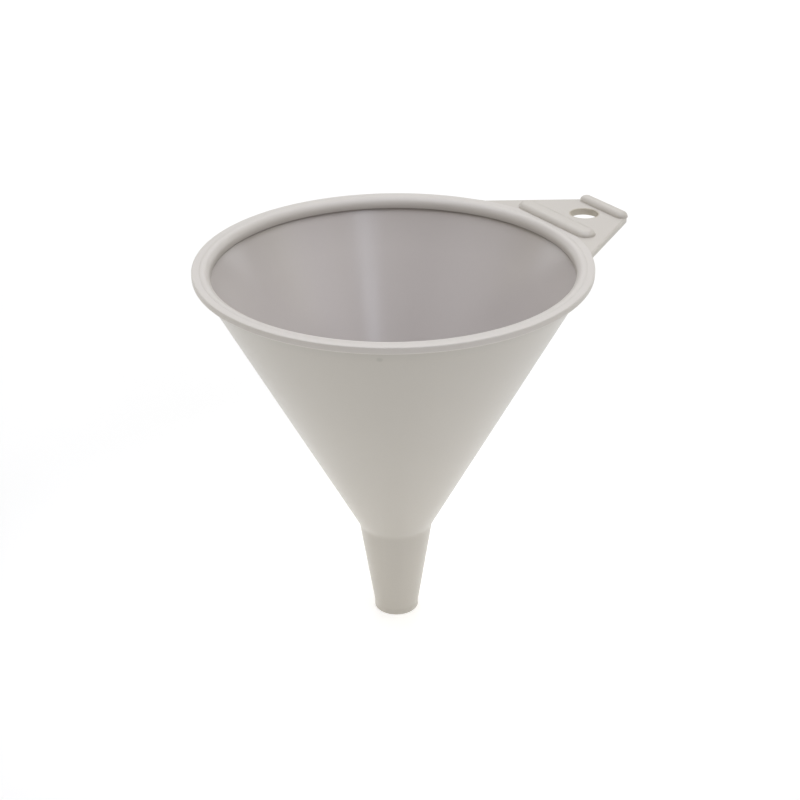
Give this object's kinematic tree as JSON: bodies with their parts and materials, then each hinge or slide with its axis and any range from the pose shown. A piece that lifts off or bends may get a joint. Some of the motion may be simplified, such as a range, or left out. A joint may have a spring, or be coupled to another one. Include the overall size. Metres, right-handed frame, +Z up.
{
  "type": "funnel",
  "caption": "Conical funnel with a tapered spout, a flat rim with a rounded lip, and a ribbed tab with a hanging hole.",
  "frame": {"origin": "centre of the spout's outlet, in the plane of the spout's end", "axes": "+Z up along the bowl's axis from the spout's end to the mouth, +X along the hanging tab's centre line, away from the bowl"},
  "size_m": [0.1963, 0.165, 0.1693],
  "materials": {
    "body": "satin"
  },
  "bodies": {
    "root": {"rim_flange": "body", "rim_lip": "body", "cone_wall": "body", "throat": "body", "spout": "body", "spout_tip": "body", "hanging_tab": "body", "tab_inner_rib": "body", "tab_outer_rib": "body"}
  },
  "joints": []
}
